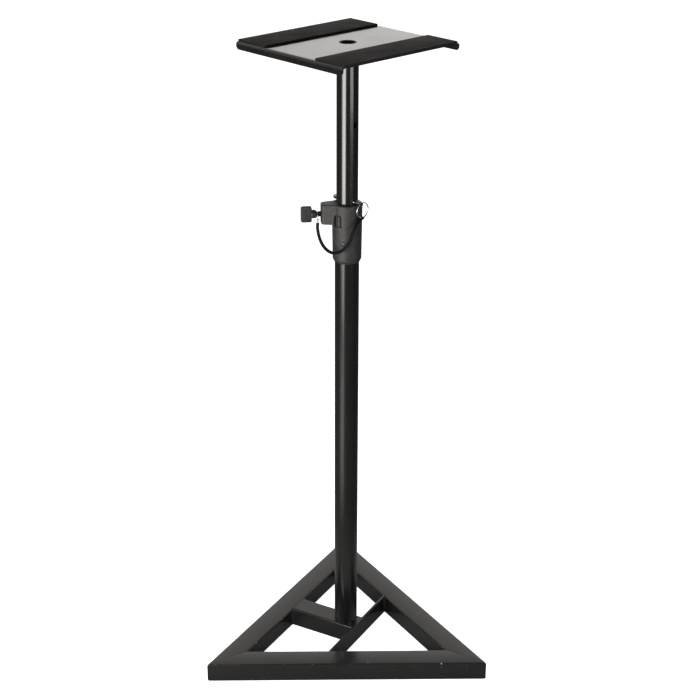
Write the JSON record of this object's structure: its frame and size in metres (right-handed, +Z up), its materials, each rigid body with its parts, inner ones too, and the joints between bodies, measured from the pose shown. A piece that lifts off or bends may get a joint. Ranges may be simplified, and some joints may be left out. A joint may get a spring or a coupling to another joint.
{
  "type": "studio speaker stand",
  "caption": "Floor stand with a welded triangular base, a telescopic pole with clamp collar and tethered safety pin, and a folded platform with rubber strips.",
  "frame": {"origin": "on the floor, on the pole's axis, at the centre of the access hole in the pole bar's underside", "axes": "+Z up along the pole; the triangle's front bar lies towards -Y; +X to the right seen from the front"},
  "size_m": [0.485, 0.4522, 1.088],
  "materials": {
    "black_paint": "satin black powder coat on steel",
    "zinc_plated_steel": "bright zinc plate",
    "black_screw_steel": "blackened steel",
    "chrome": "bright chrome plate",
    "collar_plastic": "fine-grained black moulding",
    "knob_plastic": "smooth dark grey moulding",
    "nylon": "plain black nylon",
    "strip_rubber": "matte, fine-grained",
    "tether_fabric": "flat woven black strap"
  },
  "bodies": {
    "stand": {"base_front_bar": "black_paint", "base_right_bar": "black_paint", "base_left_bar": "black_paint", "pole_bar": "black_paint", "cross_strip": "black_paint", "weld_beads": "black_paint", "lower_pole": "black_paint", "pole_foot_plug": "zinc_plated_steel", "pole_foot_bolt": "zinc_plated_steel", "pole_foot_washer": "zinc_plated_steel", "clamp_collar": "collar_plastic", "collar_bushing": "nylon", "collar_screw": "black_screw_steel", "clamp_insert": "black_screw_steel", "tether_ring": "chrome", "pin_tether": "tether_fabric"},
    "guide": {"upper_pole_guide": "nylon"},
    "mast": {"upper_pole": "black_paint", "pole_head_plug": "zinc_plated_steel", "top_plate": "black_paint", "plate_bolt": "black_screw_steel", "rear_rubber_strip": "strip_rubber", "front_rubber_strip": "strip_rubber"},
    "pin": {"safety_pin": "chrome"},
    "ring": {"pin_ring": "chrome"},
    "shoe": {"clamp_shoe": "nylon"},
    "knob": {"clamp_knob": "knob_plastic", "clamp_stud": "zinc_plated_steel"}
  },
  "joints": [
    {"name": "height_slide", "type": "slide", "parent": "stand", "child": "guide", "axis": [0, 0, 1], "range_m": [0, 0.252], "deforming": ["pin_tether"]},
    {"name": "mast_swivel", "type": "hinge", "parent": "guide", "child": "mast", "pos_m": [0, 0, 0.363], "axis": [0, 0, 1], "range_deg": [-75, 75]},
    {"name": "pin_pull", "type": "slide", "parent": "mast", "child": "pin", "axis": [0.6947, -0.7193, 0], "range_m": [0, 0.045]},
    {"name": "ring_swing", "type": "hinge", "parent": "pin", "child": "ring", "pos_m": [0.02077, -0.02151, 0.8303], "axis": [-0.6602, -0.6375, -0.3971], "range_deg": [-7, 95]},
    {"name": "screw_travel", "type": "slide", "parent": "stand", "child": "shoe", "axis": [-0.9925, -0.1219, 0], "range_m": [0, 0.0021]},
    {"name": "knob_turn", "type": "hinge", "parent": "shoe", "child": "knob", "pos_m": [-0.04963, -0.00609, 0.8087], "axis": [-0.9925, -0.1219, 0], "range_deg": [0, 720]}
  ],
  "couplings": [
    {"joint": "screw_travel", "follows": "knob_turn", "m_per_rad": 0.00015915}
  ]
}
